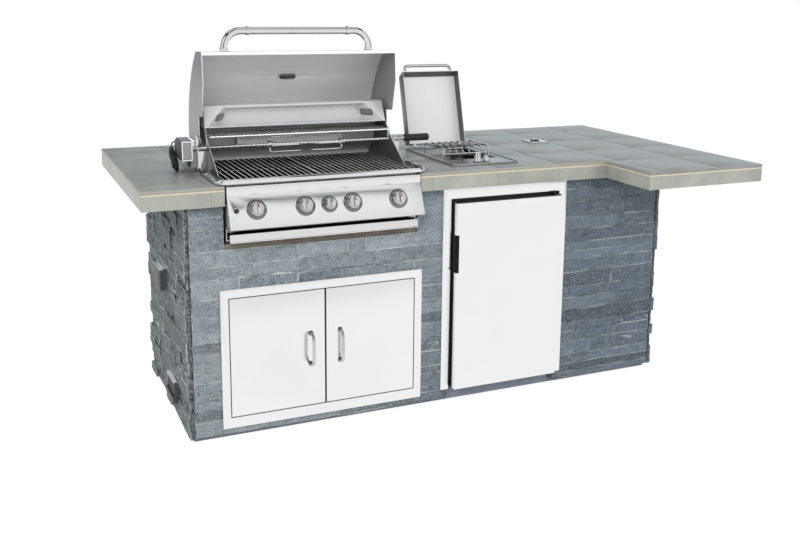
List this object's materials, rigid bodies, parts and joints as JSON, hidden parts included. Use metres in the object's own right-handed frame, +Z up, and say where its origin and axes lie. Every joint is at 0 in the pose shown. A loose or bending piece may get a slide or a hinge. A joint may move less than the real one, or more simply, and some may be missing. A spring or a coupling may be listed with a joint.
{
  "type": "outdoor kitchen island",
  "caption": "Stone-clad outdoor kitchen island with a tiled counter, a built-in gas grill under a roll-top hood, a side burner, cabinet doors and a small fridge.",
  "frame": {"origin": "centre of the underside of the bounding box, on the ground under the middle of the counter", "axes": "+X along the counter to the bar end, +Y to the back, +Z up"},
  "size_m": [2.494, 1.35, 1.5251],
  "materials": {
    "brushed_steel": "brushed",
    "chrome_plate": "polished",
    "dark_iron": "seasoned",
    "dark_steel": "heat stained",
    "frame_steel": "galvanised",
    "stacked_stone": "split face",
    "slate_tile": "matt",
    "concrete": "cast",
    "gray_plastic": "matt",
    "black_plastic": "satin",
    "cord_rubber": "matt",
    "lamp_glass": "frosted",
    "brass": "cast",
    "white_liner": "gloss"
  },
  "bodies": {
    "island": {"base_plinth": "concrete", "steel_frame": "frame_steel", "stone_front": "stacked_stone", "stone_left": "stacked_stone", "stone_right": "stacked_stone", "stone_back": "stacked_stone", "outlet_box": "gray_plastic", "side_vent": "gray_plastic", "opening_sill": "concrete", "counter_top": "slate_tile", "counter_skirt": "slate_tile", "umbrella_plate": "chrome_plate", "firebox": "brushed_steel", "head_rim": "chrome_plate", "rear_baffle": "brushed_steel", "lamp_left": "lamp_glass", "lamp_right": "lamp_glass", "control_panel": "brushed_steel", "burner_assembly": "dark_steel", "flame_tamer": "dark_steel", "grate_left": "dark_iron", "grate_right": "dark_iron", "back_burner": "brushed_steel", "warming_rack": "chrome_plate", "motor_housing": "brushed_steel", "strain_relief": "cord_rubber", "cord_lead": "cord_rubber", "cord_hank": "cord_rubber", "plug": "cord_rubber", "side_burner_tray": "brushed_steel", "side_burner_head": "brass", "side_burner_grate": "dark_iron", "door_frame": "brushed_steel", "fridge_trim": "brushed_steel", "fridge_cabinet": "white_liner", "fridge_shelf": "chrome_plate"},
    "hood": {"hood_shell": "brushed_steel", "hood_handle": "chrome_plate", "hood_gauge": "chrome_plate"},
    "side_lid": {"side_burner_lid": "brushed_steel", "side_burner_handle": "chrome_plate"},
    "left_door": {"door_left": "brushed_steel", "door_handle_left": "chrome_plate"},
    "right_door": {"door_right": "brushed_steel", "door_handle_right": "chrome_plate"},
    "fridge_door": {"fridge_door": "brushed_steel"},
    "spit": {"spit_rod": "chrome_plate", "spit_fork_left": "chrome_plate", "spit_fork_right": "chrome_plate", "spit_handle": "black_plastic"},
    "tray": {"drip_tray": "brushed_steel"},
    "igniter": {"igniter_button": "black_plastic"},
    "outlet_flap": {"outlet_cover": "gray_plastic"},
    "burner_knob_1": {"knob_1": "chrome_plate"},
    "burner_knob_2": {"knob_2": "chrome_plate"},
    "burner_knob_3": {"knob_3": "chrome_plate"},
    "burner_knob_4": {"knob_4": "chrome_plate"},
    "burner_knob_5": {"knob_5": "chrome_plate"},
    "side_knob_1": {"side_knob_1": "chrome_plate"},
    "side_knob_2": {"side_knob_2": "chrome_plate"}
  },
  "joints": [
    {"name": "hood_hinge", "type": "hinge", "parent": "island", "child": "hood", "pos_m": [-0.5715, -0.001, 1.093], "axis": [1, 0, 0], "range_deg": [0, 90]},
    {"name": "side_lid_hinge", "type": "hinge", "parent": "island", "child": "side_lid", "pos_m": [0.141, 0.171, 0.992], "axis": [1, 0, 0], "range_deg": [0, 105]},
    {"name": "left_door_hinge", "type": "hinge", "parent": "island", "child": "left_door", "pos_m": [-0.9452, -0.3463, 0.3165], "axis": [0, 0, -1], "range_deg": [0, 110]},
    {"name": "right_door_hinge", "type": "hinge", "parent": "island", "child": "right_door", "pos_m": [-0.1978, -0.3463, 0.3165], "axis": [0, 0, 1], "range_deg": [0, 110]},
    {"name": "fridge_door_hinge", "type": "hinge", "parent": "island", "child": "fridge_door", "pos_m": [0.4425, -0.367, 0.45], "axis": [0, 0, 1], "range_deg": [0, 110]},
    {"name": "spit_turn", "type": "hinge", "parent": "island", "child": "spit", "pos_m": [-0.5715, -0.067, 1.07], "axis": [1, 0, 0], "continuous": true},
    {"name": "tray_slide", "type": "slide", "parent": "island", "child": "tray", "axis": [0, -1, 0], "range_m": [0, 0.38]},
    {"name": "igniter_press", "type": "slide", "parent": "island", "child": "igniter", "axis": [0, 0.9224, -0.3863], "range_m": [0, 0.004], "stiffness_N_per_m": 300},
    {"name": "outlet_flap_hinge", "type": "hinge", "parent": "island", "child": "outlet_flap", "pos_m": [-1.1203, 0.049, 0.597], "axis": [0, 1, 0], "range_deg": [0, 100]},
    {"name": "burner_knob_1_turn", "type": "hinge", "parent": "island", "child": "burner_knob_1", "pos_m": [-0.8475, -0.40121, 0.88796], "axis": [0, -0.9224, 0.3863], "range_deg": [0, 180]},
    {"name": "burner_knob_2_turn", "type": "hinge", "parent": "island", "child": "burner_knob_2", "pos_m": [-0.6645, -0.40121, 0.88796], "axis": [0, -0.9224, 0.3863], "range_deg": [0, 180]},
    {"name": "burner_knob_3_turn", "type": "hinge", "parent": "island", "child": "burner_knob_3", "pos_m": [-0.5715, -0.40121, 0.88796], "axis": [0, -0.9224, 0.3863], "range_deg": [0, 90]},
    {"name": "burner_knob_4_turn", "type": "hinge", "parent": "island", "child": "burner_knob_4", "pos_m": [-0.4795, -0.40121, 0.88796], "axis": [0, -0.9224, 0.3863], "range_deg": [0, 180]},
    {"name": "burner_knob_5_turn", "type": "hinge", "parent": "island", "child": "burner_knob_5", "pos_m": [-0.2945, -0.40121, 0.88796], "axis": [0, -0.9224, 0.3863], "range_deg": [0, 180]},
    {"name": "side_knob_1_turn", "type": "hinge", "parent": "island", "child": "side_knob_1", "pos_m": [0.129, -0.239, 0.985], "axis": [0, 0, 1], "range_deg": [0, 180]},
    {"name": "side_knob_2_turn", "type": "hinge", "parent": "island", "child": "side_knob_2", "pos_m": [0.168, -0.239, 0.985], "axis": [0, 0, 1], "range_deg": [0, 180]}
  ]
}
